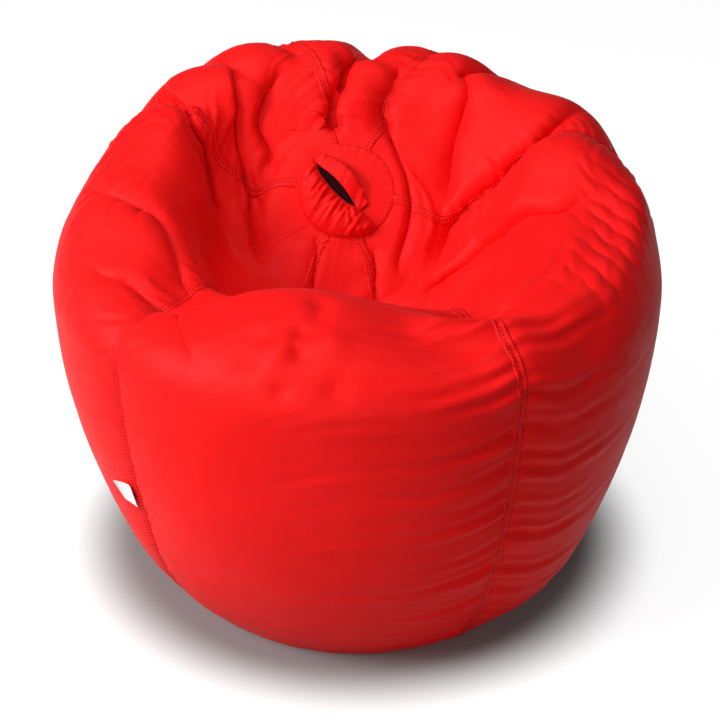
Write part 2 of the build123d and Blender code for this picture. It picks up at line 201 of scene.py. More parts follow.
def form_grid(bearings, places):
    """Points of the form, one column for each bearing."""
    grid = []
    for bearing in np.radians(bearings):
        out, height = outline(bearing, places).T
        grid.append(np.stack([POLE.x + sin(bearing) * out, POLE.y - cos(bearing) * out, height], -1))
    return np.array(grid)


def grid_normals(grid):
    """Outward unit normals of a grid that closes round the bag."""
    across = np.roll(grid, -1, 0) - np.roll(grid, 1, 0)
    normal = np.cross(np.gradient(grid, axis=1), across)
    return normal / np.linalg.norm(normal, axis=-1, keepdims=True)


cloth = form_grid(SEAM_START + GORE_SWEEP / COLUMNS * np.arange(6 * COLUMNS), STEPS)
print("grid", cloth.shape, "normal at the belly", grid_normals(cloth)[0, 80].round(2))

# %% [markdown]
# ## Let the cloth settle
# A short cloth simulation with a little spare cloth lets the cover buckle into soft dents. The rings
# at the cap and the base are held fast, the seams firmly and the rest loosely, and the front has less
# spare cloth than the seat and the rim. Only the broad waves are kept: the short ones are smoothed out.

# %% Make a mesh from points


def mesh_piece(name, points, faces):
    """A new object from points and faces."""
    mesh = bpy.data.meshes.new(name)
    faces = faces.tolist() if isinstance(faces, np.ndarray) else faces
    mesh.from_pydata(points.reshape(-1, 3).tolist(), [], faces)
    piece = bpy.data.objects.new(name, mesh)
    bpy.context.collection.objects.link(piece)
    return piece


def grid_faces(columns, rows, closed=False):
    """Four-sided faces over a grid of points, which may close on itself across its columns."""
    number = np.arange(columns * rows).reshape(columns, rows)
    beside = np.roll(number, -1, 0)
    count = columns if closed else columns - 1
    corners = [number[:count, :-1], number[:count, 1:], beside[:count, 1:], beside[:count, :-1]]
    return np.stack(corners, -1).reshape(-1, 4)


# %% Settle the cloth
SETTLE_FRAMES, FARTHEST_MOVE = 14, 0.012
SMOOTHING = 6  # passes
rng = np.random.default_rng(7)


def settle(grid, frames, most):
    """The grid after a short cloth simulation, with no point moved further than most."""
    columns, rows = grid.shape[:2]
    piece = mesh_piece("settling", grid + rng.normal(0, 0.0006, grid.shape), grid_faces(columns, rows, True))
    hold = np.full((columns, rows), 0.12)
    hold[::COLUMNS] = 0.4
    hold[:, STEPS < 1.15] = hold[:, -2:] = 1
    spare = np.zeros((columns, rows))
    spare[:, (STEPS > 1.6) & (STEPS < 3.7)] = 1
    for name, weights in (("hold", hold), ("spare", spare)):
        group = piece.vertex_groups.new(name=name)
        for level in np.unique(weights):
            group.add(np.flatnonzero(weights.ravel() == level).tolist(), float(level), "REPLACE")
    modifier = piece.modifiers.new("cloth", "CLOTH")
    fabric = modifier.settings
    fabric.quality = 5
    fabric.mass = 0.2
    fabric.tension_stiffness = fabric.compression_stiffness = 25
    fabric.shear_stiffness = 10
    fabric.bending_stiffness = 8
    fabric.vertex_group_mass = "hold"
    fabric.pin_stiffness = 1
    fabric.vertex_group_shrink = "spare"
    fabric.shrink_min, fabric.shrink_max = -0.008, -0.03
    fabric.effector_weights.gravity = 0
    modifier.collision_settings.use_collision = False
    for step in range(1, frames + 1):
        bpy.context.scene.frame_set(step)
    shown = piece.evaluated_get(bpy.context.evaluated_depsgraph_get()).to_mesh()
    moved = np.empty(columns * rows * 3)
    shown.vertices.foreach_get("co", moved)
    bpy.data.objects.remove(piece)
    bpy.context.scene.frame_set(1)
    move = moved.reshape(grid.shape) - grid
    for _ in range(SMOOTHING):
        move = (np.roll(move, 1, 0) + 2 * move + np.roll(move, -1, 0)) / 4
        move[:, 1:-1] = (move[:, :-2] + 2 * move[:, 1:-1] + move[:, 2:]) / 4
    size = np.linalg.norm(move, axis=-1, keepdims=True)
    return grid + move * np.minimum(1, most / np.maximum(size, 1e-9)), size.max()


cloth, farthest = settle(cloth, SETTLE_FRAMES, FARTHEST_MOVE)
print("settled, farthest move in mm", round(farthest * 1000, 1))

# %% [markdown]
# ## The creases
# Someone pressed a seat into this bag, so spare cloth lies in long creases that run from the rim into
# the seat. Each crease is a line drawn on the form as (bearing, step) places. On both sides the cloth
# rolls up out of it like a soft tube: the depth is how far the line sinks in, and each side has a
# height that it swells to and the length of cloth from the line to that crest, all in millimetres.
# A sculpting brush would do this by hand; drawn lines can be placed one by one and moved later.

# %% Make the grid finer
def finer(grid, times):
    """More columns and rows, on smooth curves through the points."""
    share = np.arange(times) / times
    weights = np.stack(
        [
            (-share + 2 * share**2 - share**3) / 2,
            (2 - 5 * share**2 + 3 * share**3) / 2,
            (share + 4 * share**2 - 3 * share**3) / 2,
            (share**3 - share**2) / 2,
        ]
    )
    near = np.stack([np.roll(grid, shift, 0) for shift in (1, 0, -1, -2)])
    grid = np.einsum("kt,kcrx->ctrx", weights, near).reshape(-1, *grid.shape[1:])
    wide = np.concatenate([2 * grid[:, :1] - grid[:, 1:2], grid, 2 * grid[:, -1:] - grid[:, -2:-1]], 1)
    near = np.stack([wide[:, k : k + grid.shape[1] - 1] for k in range(4)])
    rows = np.einsum("kt,kcrx->crtx", weights, near).reshape(len(grid), -1, 3)
    return np.concatenate([rows, grid[:, -1:]], 1)


TIMES = 4
FINE = TIMES * COLUMNS
settled = cloth
cloth = finer(cloth, TIMES)
FINE_STEPS = np.interp(np.arange(cloth.shape[1]) / TIMES, np.arange(len(STEPS)), STEPS)
print("fine grid", cloth.shape)

# %% Draw the creases on the form
# places; depth; height and length to the left of the line; height and length to its right
CREASES = {
    "left rim": (
        [(-114, 3.36), (-105, 3.18), (-91, 2.86), (-92, 2.48), (-90, 2.3), (-83, 2.15), (-64, 2.0)],
        15, (2, 16), (13, 62),
    ),
    "left wall": (
        [(-134, 3.3), (-115, 2.86), (-109, 2.5), (-104, 2.25), (-91, 1.96), (-74, 1.79), (-54, 1.65)],
        12, (5, 36), (4, 16),
    ),
    "back cleft": (
        [(172, 3.3), (175, 2.86), (180, 2.6), (185, 2.25), (193, 1.68), (208, 1.14)],
        16, (7, 28), (6, 42),
    ),
    "soft back left": (
        [(-143, 2.75), (-128, 2.46), (-119, 2.27), (-116, 2.0), (-106, 1.6)],
        9, (4, 26), (4, 22),
    ),
    "right seat": (
        [(100, 3.42), (92, 3.14), (85, 2.88), (84, 2.57), (85, 2.18), (74, 1.89), (45, 1.66)],
        15, (12, 60), (4, 30),
    ),
    "right low": (
        [(70, 3.3), (64, 3.04), (62, 2.88), (64, 2.48), (66, 2.21), (56, 1.89), (42, 1.72)],
        10, (7, 36), (4, 22),
    ),
    "right ridge": (
        [(132, 3.2), (116, 2.82), (111, 2.43), (105, 2.23), (97, 2.09), (76, 1.7)],
        10, (7, 32), (4, 26),
    ),
    "soft back right": ([(149, 2.8), (147, 2.43), (145, 2.02), (114, 1.15)], 8, (4, 24), (4, 24)),
    "right of cap": (
        [(141, 2.3), (126, 1.6), (105, 1.26), (82, 1.22), (60, 1.3), (42, 1.55)],
        9, (5, 30), (2, 18),
    ),
    "left edge": (
        [(-81, 3.6), (-68, 3.29), (-60, 3.07), (-54, 2.91), (-44, 2.88), (-30, 2.96)],
        9, (3, 28), (7, 44),
    ),
    "left lip": (
        [(-54, 3.52), (-48, 3.43), (-44, 3.32), (-38, 3.25), (-31, 3.15), (-26, 3.0)],
        9, (3, 22), (5, 34),
    ),
    "under cap left": ([(-50, 1.02), (-36, 1.2), (-24, 1.7)], 5, (3, 24), (3, 24)),
    "under cap right": ([(40, 1.05), (27, 1.4), (18, 1.8)], 5, (3, 24), (3, 24)),
    "lip left": ([(-33, 3.2), (-26, 3.45), (-20, 3.75)], 3, (3, 30), (2, 34)),
    "back right rim": ([(127, 2.9), (120, 3.45)], 5, (3, 20), (3, 22)),
    "back left rim": ([(-153, 2.8), (-146, 3.45)], 5, (3, 20), (3, 22)),
}
print("creases", len(CREASES))

# %% Place the swells, dents and ridges
# broad swells, and dents below nought: bearing, step, height and radius in mm
SWELLS = (
    (97, 3.3, 24, 80),
    (80, 3.42, 16, 80),
    (133, 3.1, 20, 70),
    (-112, 3.15, 18, 90),
    (-135, 3.1, 10, 60),
    (-34, 3.02, -26, 62),
    (-36, 4.75, 9, 90),
    (38, 4.75, 11, 100),
    (-12.5, 3.42, -6, 18),
    (-13, 3.6, -6, 17),
    (-6, 3.34, -7, 16),
    (-6, 3.52, -8, 17),
    (-4, 3.05, -6, 16),
    (-4, 3.2, -5, 15),
    (-8, 3.78, -6, 14),
    (-1, 3.74, -4, 17),
    (-9, 3.5, 5, 20),
    (-2, 3.4, 4, 22),
    (18, 3.1, -4, 20),
    (26, 2.98, -16, 42),
    (37, 3.8, -10, 48),
)
# two long ridges, each a chain of small swells: the outer edge of the right rim and its run into the
# lip, and the corner that the cover turns at the front right seam
RIDGES = (
    ([(14, 3.16), (20, 3.23), (27, 3.35), (35, 3.41), (42, 3.46), (59, 3.49), (72, 3.45)], 7.5, 25),
    ([(25, 3.22), (24.5, 3.4), (24, 3.6), (23, 3.8)], 1.0, 48),
)
print("swells", len(SWELLS), "ridges", len(RIDGES))

# %% Press them into the cloth
def smooth_line(places, count=18):
    """More places along a smooth curve through the given ones; bearings may pass 180."""
    turns = np.degrees(np.unwrap(np.radians([p[0] for p in places])))
    at = np.linspace(0, len(places) - 1, count)
    k = np.minimum(at.astype(int), len(places) - 2)
    f = at - k
    curves = []
    for values in (turns, np.array([p[1] for p in places], float)):
        slope = np.gradient(values)
        a, b, c, d = values[k], values[k + 1], slope[k], slope[k + 1]
        curves.append(a + f * c + f**2 * (3 * b - 3 * a - 2 * c - d) + f**3 * (2 * a - 2 * b + c + d))
    return np.stack(curves, -1)


def cloth_at(grid, bearing, step):
    """Point of the grid nearest to a bearing and step."""
    column = round((bearing - SEAM_START) / GORE_SWEEP * FINE) % (6 * FINE)
    return grid[column, round(float(np.interp(step, FINE_STEPS, np.arange(len(FINE_STEPS)))))]


def crease_moves(points, normals, line, depth, sides, taper=0.25):
    """How one crease moves the points: down into the line and sideways towards it."""
    nearest = np.full(len(points), 1e9)
    signed, along, toward = np.zeros(len(points)), np.zeros(len(points)), np.zeros((len(points), 3))
    count = len(line) - 1
    for i in range(count):
        a, d = line[i], line[i + 1] - line[i]
        f = np.clip((points - a) @ d / (d @ d), 0, 1)
        off = points - (a + f[:, None] * d)
        far = np.linalg.norm(off, axis=-1)
        closer = far < nearest
        nearest[closer], along[closer], toward[closer] = far[closer], ((i + f) / count)[closer], off[closer]
        signed[closer] = np.einsum("ij,ij->i", np.cross(d, off[closer]), normals[closer])
    ends = np.clip(np.minimum(along, 1 - along) / taper, 0, 1)
    ends = ends * ends * (3 - 2 * ends)
    toward -= normals * np.einsum("ij,ij->i", toward, normals)[:, None]
    toward /= np.maximum(np.linalg.norm(toward, axis=-1, keepdims=True), 1e-9)
    rise, shift = np.zeros(len(points)), np.zeros(len(points))
    for (swell, length), here in zip(sides, (signed > 0, signed <= 0)):
        s, full = nearest[here] * 1000, depth + swell
        flat = sqrt(max(2 * (2 * length / pi) ** 2 - full**2, (0.4 * length) ** 2))
        roll = np.minimum(s / length, 1) * pi / 2
        past = np.exp(-((np.maximum(s - length, 0) / (0.8 * length)) ** 2))
        rise[here] = np.where(s < length, full * np.sin(roll) - depth, swell * past)
        shift[here] = np.where(s < length, flat * (1 - np.cos(roll)) - s, (flat - length) * past)
    return (normals * rise[:, None] + toward * shift[:, None]) * ends[:, None] / 1000


def press_creases(grid, creases):
    """The grid with every crease pressed into it."""
    normals = grid_normals(grid)
    total = np.zeros_like(grid)
    for places, depth, left, right in creases:
        line = np.array([cloth_at(grid, b, t) for b, t in smooth_line(places)])
        reach = 2.7 * max(left[1], right[1]) / 1000
        low, high = line.min(0) - reach, line.max(0) + reach
        near = np.all((grid > low) & (grid < high), axis=-1)
        total[near] += crease_moves(grid[near], normals[near], line, depth, (left, right))
    return grid + total


normals = grid_normals(cloth)
bumps = np.zeros(cloth.shape[:2])
chain = [(*place, height, radius) for line, height, radius in RIDGES for place in smooth_line(line)]
for bearing, step, height, radius in list(SWELLS) + chain:
    away = np.linalg.norm(cloth - cloth_at(cloth, bearing, step), axis=-1) * 1000
    bumps += height / 1000 * np.exp(-((away / radius) ** 2))
cloth = press_creases(cloth + normals * bumps[..., None], CREASES.values())
print("highest swell in mm", round(float(bumps.max()) * 1000, 1))

# %% [markdown]
# ## Gathers on the rim
# Where the cloth turns over the rim it is gathered into short ridges, side by side, strongest on the
# right. They slant and wander a little, and their dents are sharper than their crests.

# %% Gather the rim
def ripple(places, pitch, seed):
    """An uneven wave of about the given pitch along the places, between -1 and 1."""
    waves = np.random.default_rng(seed)
    total = np.zeros_like(places)
    for share in (0.62, 0.8, 1.0, 1.27, 1.6):
        total += np.cos(2 * pi * places / (pitch * share) + waves.uniform(0, 2 * pi))
    return total / 3


def soft_step(value):
    """Nought to one with soft ends."""
    value = np.clip(value, 0, 1)
    return value * value * (3 - 2 * value)


GATHER_FADE = (9, 0.3)  # degrees and steps over which they begin and end
RIM_ARC = 380  # mm from the pole to the rim, which turns a bearing into a length
# bearings from and to, steps from and to, pitch and height in mm, slant
GATHERS = ((38, 80, 3.0, 3.72, 26, 5.0, 0.25), (-100, -50, 2.9, 3.7, 38, 3.5, -0.5))

normals = grid_normals(cloth)
lengths = np.linalg.norm(np.diff(cloth, axis=1, prepend=cloth[:, :1]), axis=-1).cumsum(1) * 1000
turn = (SEAM_START + GORE_SWEEP / FINE * np.arange(6 * FINE) + 180) % 360 - 180
rise = np.zeros(cloth.shape[:2])
for number, (first, last, low, high, pitch, height, slant) in enumerate(GATHERS):
    across = soft_step(np.minimum(turn - first, last - turn) / GATHER_FADE[0])[:, None]
    along = soft_step(np.minimum(FINE_STEPS - low, high - FINE_STEPS) / GATHER_FADE[1])
    arc = np.radians(turn)[:, None] * RIM_ARC + slant * lengths
    arc = arc + 0.3 * pitch * ripple(lengths, 70, 40 + number)
    ridge = np.abs(np.sin(pi * arc / pitch)) ** 0.8 - 0.5
    uneven = 0.65 + 0.35 * ripple(arc + 1.7 * lengths, 3.1 * pitch, 50 + number)
    rise += height / 1000 * ridge * uneven * across * along
cloth = cloth + normals * rise[..., None]
print("tallest gather in mm", round(float(rise.max()) * 1000, 1))

# %% [markdown]
# ## Puffed gores and puckered seams
# Each gore swells a little between its seams. A felled seam is stiffer than the cloth beside it and
# a little shorter, so short puckers run out of it on both sides.

# %% Puff the gores and pucker the seams
PUFF, SUNK = 0.006, 0.003  # how far a gore swells and a seam sinks, in metres
# puckers in mm for the seams at the front left, front right, right, back right, back left, left:
# height, pitch and reach
PUCKER = ((1.8, 28, 40), (5.5, 36, 75), (2.4, 26, 36), (2.6, 26, 36), (2.6, 26, 36), (2.4, 26, 36))

normals = grid_normals(cloth)
spacing = np.linalg.norm(np.roll(cloth, -1, 0) - cloth, axis=-1)
lengths = np.linalg.norm(np.diff(cloth, axis=1, prepend=cloth[:, :1]), axis=-1).cumsum(1)
column = np.arange(6 * FINE)
rise = np.zeros(cloth.shape[:2])
outside = np.clip((FINE_STEPS - 2.9) / 0.5, 0, 1) * np.clip((5 - FINE_STEPS) / 0.25, 0, 1)
held = np.clip((FINE_STEPS - 1.1) / 0.6, 0, 1) * np.clip((5 - FINE_STEPS) / 0.12, 0, 1)
rise += (np.sin(pi * (column % FINE) / FINE)[:, None] ** 0.7 - 0.6) * PUFF * outside
for number, (height, pitch, far) in enumerate(PUCKER):
    apart = (column - number * FINE + 3 * FINE) % (6 * FINE) - 3 * FINE
    distance = apart[:, None] * spacing * 1000
    widest = 0.19 * FINE * spacing * 1000
    for side in (-1, 1):
        wave = ripple(lengths * 1000 + 0.35 * distance, pitch, 10 * number + side + 1)
        reach = np.minimum(far * (1 + 0.5 * ripple(lengths * 1000, 60, 80 + number)), widest)
        close = np.exp(-np.abs(distance) / reach) * (1 - np.exp(-np.abs(distance) / 9))
        rise += wave * ((distance * side >= 0) * close) * height / 1000 * held
    rise -= SUNK * np.exp(-np.abs(distance) / 11) * held
cloth = cloth + normals * rise[..., None]
print("tallest pucker in mm", round(float(rise.max()) * 1000, 1))

# %% [markdown]
# ## Materials
# The cover is woven polyester with a thin coat: nearly matt, with a soft sheen where it turns away.
# Thread, label and zip tapes are polyester too, the teeth are moulded plastic and the slider is cast
# zinc. Colours are written as screen colours and turned into light values by one function. One small
# function adds a node with its settings and links.

# %% Colour and node helpers
def light_value(code):
    """Red, green, blue and alpha as light values from a screen colour such as #E0141A."""
    parts = [int(code[i : i + 2], 16) / 255 for i in (1, 3, 5)]
    return tuple(p / 12.92 if p <= 0.04045 else ((p + 0.055) / 1.055) ** 2.4 for p in parts) + (1.0,)


def new_material(name, colour, roughness, **settings):
    """A material with a principled shader; settings are the shader's own sockets by name."""
    material = bpy.data.materials.new(name)
    material.use_nodes = True
    shader = material.node_tree.nodes["Principled BSDF"]
    shader.inputs["Base Color"].default_value = light_value(colour)
    shader.inputs["Roughness"].default_value = roughness
    for socket, value in settings.items():
        shader.inputs[socket.replace("_", " ")].default_value = value
    return material, shader


def add_node(material, kind, links=(), **settings):
    """Add a node, set its values and link sockets into it: links are (from, socket, to socket)."""
    node = material.node_tree.nodes.new(kind)
    for name, value in settings.items():
        if hasattr(node, name):
            setattr(node, name, value)
        else:
            node.inputs[name.replace("_", " ")].default_value = value
    for source, socket, target in links:
        material.node_tree.links.new(source.outputs[socket], node.inputs[target])
    return node


def join(material, source, socket, node, target):
    """Link one node's output into another node."""
    material.node_tree.links.new(source.outputs[socket], node.inputs[target])


def spotted(material, shader, place, scale, low, high, detail=3.0):
    """Base colour that wanders between two colours at a given scale per metre."""
    spot = [(place, "Object", "Vector")]
    noise = add_node(material, "ShaderNodeTexNoise", spot, Scale=scale, Detail=detail)
    ramp = add_node(material, "ShaderNodeValToRGB", [(noise, "Fac", "Fac")])
    ramp.color_ramp.elements[0].position, ramp.color_ramp.elements[1].position = 0.35, 0.65
    ramp.color_ramp.elements[0].color, ramp.color_ramp.elements[1].color = light_value(low), light_value(high)
    join(material, ramp, "Color", shader, "Base Color")
    return noise


# %% Make the materials
def red_cloth(name, low, high):
    """Coated red polyester with its weave, small crumples and a soft sheen."""
    material, shader = new_material(
        name,
        high,
        0.55,
        Specular_IOR_Level=0.1,
        Sheen_Weight=0.05,
        Sheen_Roughness=0.35,
        Sheen_Tint=light_value("#FFB4B4"),
    )
    place = add_node(material, "ShaderNodeTexCoord")
    spotted(material, shader, place, 5.0, low, high)
    # threads are 0.3 mm wide; the weave is drawn four times coarser so that it shows at this size
    weave = []
    for direction in ("X", "Y"):
        weave.append(
            add_node(
                material,
                "ShaderNodeTexWave",
                [(place, "UV", "Vector")],
                bands_direction=direction,
                Scale=pi / 10 / 0.0012,
                Distortion=0.6,
                Detail=1.0,
            )
        )
    both = add_node(material, "ShaderNodeMath", [(weave[0], "Fac", 0), (weave[1], "Fac", 1)], operation="ADD")
    spot = [(place, "Object", "Vector")]
    crumple = add_node(material, "ShaderNodeTexNoise", spot, Scale=34.0, Detail=5.0, Roughness=0.55)
    coarse = add_node(material, "ShaderNodeBump", [(crumple, "Fac", "Height")], Strength=0.35, Distance=0.004)
    on_top = [(both, "Value", "Height"), (coarse, "Normal", "Normal")]
    fine = add_node(material, "ShaderNodeBump", on_top, Strength=0.18, Distance=0.0003)
    join(material, fine, "Normal", shader, "Normal")
    gloss = add_node(material, "ShaderNodeMapRange", [(crumple, "Fac", "Value")])
    gloss.inputs["To Min"].default_value, gloss.inputs["To Max"].default_value = 0.46, 0.64
    join(material, gloss, "Result", shader, "Roughness")
    return material


cover_cloth = red_cloth("cover_cloth", "#DE0F10", "#EA1314")
base_cloth = red_cloth("base_cloth", "#C80D0E", "#D61112")


def threaded(name, low, high, roughness, scale, depth):
    """A plain fibrous finish: wandering colour and a fine bump."""
    material, shader = new_material(name, high, roughness, Specular_IOR_Level=0.1)
    place = add_node(material, "ShaderNodeTexCoord")
    noise = spotted(material, shader, place, scale, low, high)
    bump = add_node(material, "ShaderNodeBump", [(noise, "Fac", "Height")], Strength=0.4, Distance=depth)
    join(material, bump, "Normal", shader, "Normal")
    return material


# dull polyester thread, painted shade for the dark inside of the hand slot, a satin label,
# the zip's tape and teeth
thread = threaded("stitch_thread", "#80060D", "#980A11", 0.6, 900.0, 0.0002)
painted_slot_shade = threaded("slot_painted_shade", "#180103", "#2A0305", 0.8, 300.0, 0.0004)
label_cloth = threaded("label_cloth", "#E4E8EE", "#F4F6F8", 0.7, 1400.0, 0.0002)
tape_cloth = threaded("zip_tape", "#7E0B10", "#98100F", 0.7, 1100.0, 0.0002)
tooth_plastic = threaded("zip_teeth", "#A8141A", "#B91A1E", 0.4, 600.0, 0.0001)
# foamed polystyrene beads, a few millimetres each: white and dull, with round bumps
beads = threaded("polystyrene_beads", "#E9EAE8", "#F7F7F5", 0.75, 40.0, 0.0005)
bead_place = beads.node_tree.nodes["Texture Coordinate"]
cell = add_node(beads, "ShaderNodeTexVoronoi", [(bead_place, "Object", "Vector")], Scale=260.0)
bead_bump = add_node(beads, "ShaderNodeBump", [(cell, "Distance", "Height")], Strength=0.9, Distance=0.003)
bead_bump.invert = True
join(beads, bead_bump, "Normal", beads.node_tree.nodes["Principled BSDF"], "Normal")

# cast zinc, tumbled: a soft grey shine with a faint grain
zip_metal, metal_shader = new_material("zip_metal", "#A9A7A2", 0.35, Metallic=1.0)
metal_place = add_node(zip_metal, "ShaderNodeTexCoord")
metal_noise = spotted(zip_metal, metal_shader, metal_place, 400.0, "#8C8A86", "#B8B6B1")
grain = [(metal_noise, "Fac", "Height")]
metal_bump = add_node(zip_metal, "ShaderNodeBump", grain, Strength=0.15, Distance=0.0001)
join(zip_metal, metal_bump, "Normal", metal_shader, "Normal")
print("materials", [m.name for m in bpy.data.materials if m.users])

# %% [markdown]
# ## The cover
# Every gore is one sheet of cloth cut from the fine grid. The felled seam over
# each join is a narrow strip that stands a millimetre proud, with three rows of stitches. A bump map
# would be lighter, but from close by real strips and stitches catch the light better.

# %% Make the gores
def finish_piece(piece, material, body="bag", smooth=True):
    """Material, smooth shading and body for a finished piece."""
    piece.data.materials.append(material)
    if smooth:
        piece.data.polygons.foreach_set("use_smooth", [True] * len(piece.data.polygons))
    piece.data.update()
    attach(piece, body)
    return piece


def lay_uv(piece, across, along):
    """Texture places in metres: across and along the piece for every point."""
    layer = piece.data.uv_layers.new(name="cut")
    corners = np.empty(len(piece.data.loops), int)
    piece.data.loops.foreach_get("vertex_index", corners)
    layer.data.foreach_set("uv", np.stack([across.ravel()[corners], along.ravel()[corners]], -1).ravel())


closed_cloth = np.concatenate([cloth, cloth[:1]])
for number, name in enumerate(GORES):
    part = closed_cloth[number * FINE : (number + 1) * FINE + 1]
    gore = mesh_piece(f"gore_{name}_cloth", part, grid_faces(*part.shape[:2]))
    steps = np.linalg.norm(np.diff(part, axis=0, prepend=part[:1]), axis=-1).cumsum(0)
    along = np.linalg.norm(np.diff(part, axis=1, prepend=part[:, :1]), axis=-1).cumsum(1)
    lay_uv(gore, steps - steps[-1:] / 2, along)
    finish_piece(gore, cover_cloth)
    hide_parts(f"gore_{name}")
    width, length = float(steps[-1].max()), float(along.max())

# %% Make the seams and their stitches
SEAM_HALF, SEAM_PROUD = 0.0075, 0.0012
STITCH, STITCH_PITCH = 0.0044, 0.0058
STITCH_ROWS = (-0.0056, -0.0006, 0.0056)  # distances from the seam's middle


def beside_seam(number, offset, lift):
    """Points at a distance beside a seam and above the cloth, one for each row."""
    start = number * FINE
    gaps = np.linalg.norm(np.roll(cloth, -1, 0)[start] - cloth[start], axis=-1)
    place = start + offset / np.maximum(gaps, 1e-5)
    low = np.floor(place).astype(int)
    share = (place - low)[:, None]
    rows = np.arange(cloth.shape[1])
    low, high = low % (6 * FINE), (low + 1) % (6 * FINE)
    point = cloth[low, rows] * (1 - share) + cloth[high, rows] * share
    up = cloth_normals[low, rows] * (1 - share) + cloth_normals[high, rows] * share
    return point + up * lift


def stitch_row(lines, half_width, proud):
    """Points and faces of raised stitches along lines of (points, upward directions)."""
    points, faces = [], []
    for line, up in lines:
        run = np.linalg.norm(np.diff(line, axis=0), axis=1).cumsum()
        run = np.concatenate([[0], run])
        for start in np.arange(STITCH_PITCH, run[-1] - STITCH, STITCH_PITCH):
            at = np.array([start, start + STITCH / 2, start + STITCH])
            spot = np.stack([np.interp(at, run, line[:, k]) for k in range(3)], -1)
            rise = np.stack([np.interp(at, run, up[:, k]) for k in range(3)], -1)
            aside = np.cross(spot[2] - spot[0], rise[1])
            aside *= half_width / np.linalg.norm(aside)
            first = len(points)
            points += [spot[0] - rise[0] * 0.0003, spot[2] - rise[2] * 0.0003]
            points += [spot[1] - aside, spot[1] + rise[1] * proud, spot[1] + aside]
            faces += [(first, first + 3, first + 2), (first, first + 4, first + 3)]
            faces += [(first + 1, first + 2, first + 3), (first + 1, first + 3, first + 4)]
    return np.array(points), faces


cloth_normals = grid_normals(cloth)
PROFILE = [(-0.0080, -0.0010), (-SEAM_HALF, 0.0009), (-0.0045, SEAM_PROUD), (0, 0.0010)]
PROFILE += [(-offset, lift) for offset, lift in PROFILE[2::-1]]
for number in range(6):
    strip = np.stack([beside_seam(number, offset, lift) for offset, lift in PROFILE])
    seam = mesh_piece(f"seam_{number + 1}", strip, grid_faces(*strip.shape[:2]))
    along = np.linalg.norm(np.diff(strip, axis=1, prepend=strip[:, :1]), axis=-1).cumsum(1)
    lay_uv(seam, np.repeat(np.array([p[0] for p in PROFILE])[:, None], strip.shape[1], 1), along)
    finish_piece(seam, cover_cloth)
    rows = []
    for offset in STITCH_ROWS:
        line = beside_seam(number, offset, SEAM_PROUD)
        rows.append((line, beside_seam(number, offset, 1 + SEAM_PROUD) - line))
    points, faces = stitch_row(rows, 0.0009, 0.0008)
    stitches = finish_piece(mesh_piece(f"stitches_{number + 1}", points, faces), thread)

# %% [markdown]
# ## The cap and its handle
# A round cap covers the gores' tips. It is cut with a hand slot, and below the slot the cloth is
# gathered into a puffy lip. The slot's opening is drawn as a dark sheet of painted shade, for the
# shadowed inside of the bag. A strap of the same cloth crosses above the slot. All of it is drawn in
# the cap's own plane: u runs along the strap, w across it and h stands off the cap. A height over
# that plane is enough for the cap, because its cloth nowhere folds back under itself.

# %% Make the cap and its hand slot, a dark sheet of painted shade
CAP_RIGHT = Vector((1, 0, 0))
CAP_UP = Vector((0, cos(POLE_TILT), sin(POLE_TILT)))
CAP_OUT = Vector((0, -sin(POLE_TILT), cos(POLE_TILT)))
STRAP_TURN = radians(-48)
ALONG = CAP_RIGHT * cos(STRAP_TURN) + CAP_UP * sin(STRAP_TURN)
ACROSS = CAP_OUT.cross(ALONG)


def on_cap(u, w, h):
    """Points in space from places on the cap, in metres."""
    u, w, h = (np.asarray(value)[..., None] for value in (u, w, h))
    return np.array(POLE) + u * np.array(ALONG) + w * np.array(ACROSS) + h * np.array(CAP_OUT)


SLOT_U, SLOT_HALF = -0.014, 0.040


def slot_edge(u):
    """Where the slot's lower edge lies: it bows away from the strap."""
    return -0.004 - 0.009 * np.sqrt(np.clip(1 - ((u - SLOT_U) / SLOT_HALF) ** 2, 0, 1))


def cap_height(u, w):
    """How far the cap's cloth stands off its plane: a low crown, the puffy lip and its gathers."""
    r = np.hypot(u, w)
    crown = 0.0022 + 0.003 * (1 - (r / CAP_RADIUS) ** 2)
    room = np.sqrt(np.clip(CAP_RADIUS**2 - u**2, 0, None)) + slot_edge(u)
    x = np.clip((slot_edge(u) - w) / np.maximum(room, 0.004), 0, 1)
    lip = 0.017 * np.sin(pi * x**0.75) ** 0.7 * np.clip(room / 0.035, 0, 1)
    turn = np.arctan2(w, u)
    lip *= 1 + 0.22 * ripple(u + 0.25 * w, 0.013, 3) * (1 - 0.6 * x) + 0.12 * ripple(turn, 0.35, 4)
    edge = 0.0006 * ripple(turn * CAP_RADIUS, 0.012, 5) * np.clip((r - 0.045) / 0.02, 0, 1)
    return crown + lip + edge


turns = np.linspace(0, 2 * pi, 144, endpoint=False)
radii = np.concatenate([np.linspace(0.0008, CAP_RADIUS, 60), [CAP_RADIUS + 0.0004]])
u, w = radii * np.cos(turns)[:, None], radii * np.sin(turns)[:, None]
heights = cap_height(u, w)
heights[:, -1] = 0.0002
cap_points = on_cap(u, w, heights)
cap = mesh_piece("cap_cloth", cap_points, grid_faces(144, len(radii), True)[:, ::-1])
lay_uv(cap, u, w)
finish_piece(cap, cover_cloth)
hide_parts("top_cap")

ring_line = np.concatenate([cap_points[:, -4], cap_points[:1, -4]])
ring_up = np.tile(np.array(CAP_OUT), (145, 1))
points, faces = stitch_row([(ring_line + ring_up * 0.0003, ring_up)], 0.0006, 0.0006)
cap_stitches = finish_piece(mesh_piece("cap_stitches", points, faces), thread)
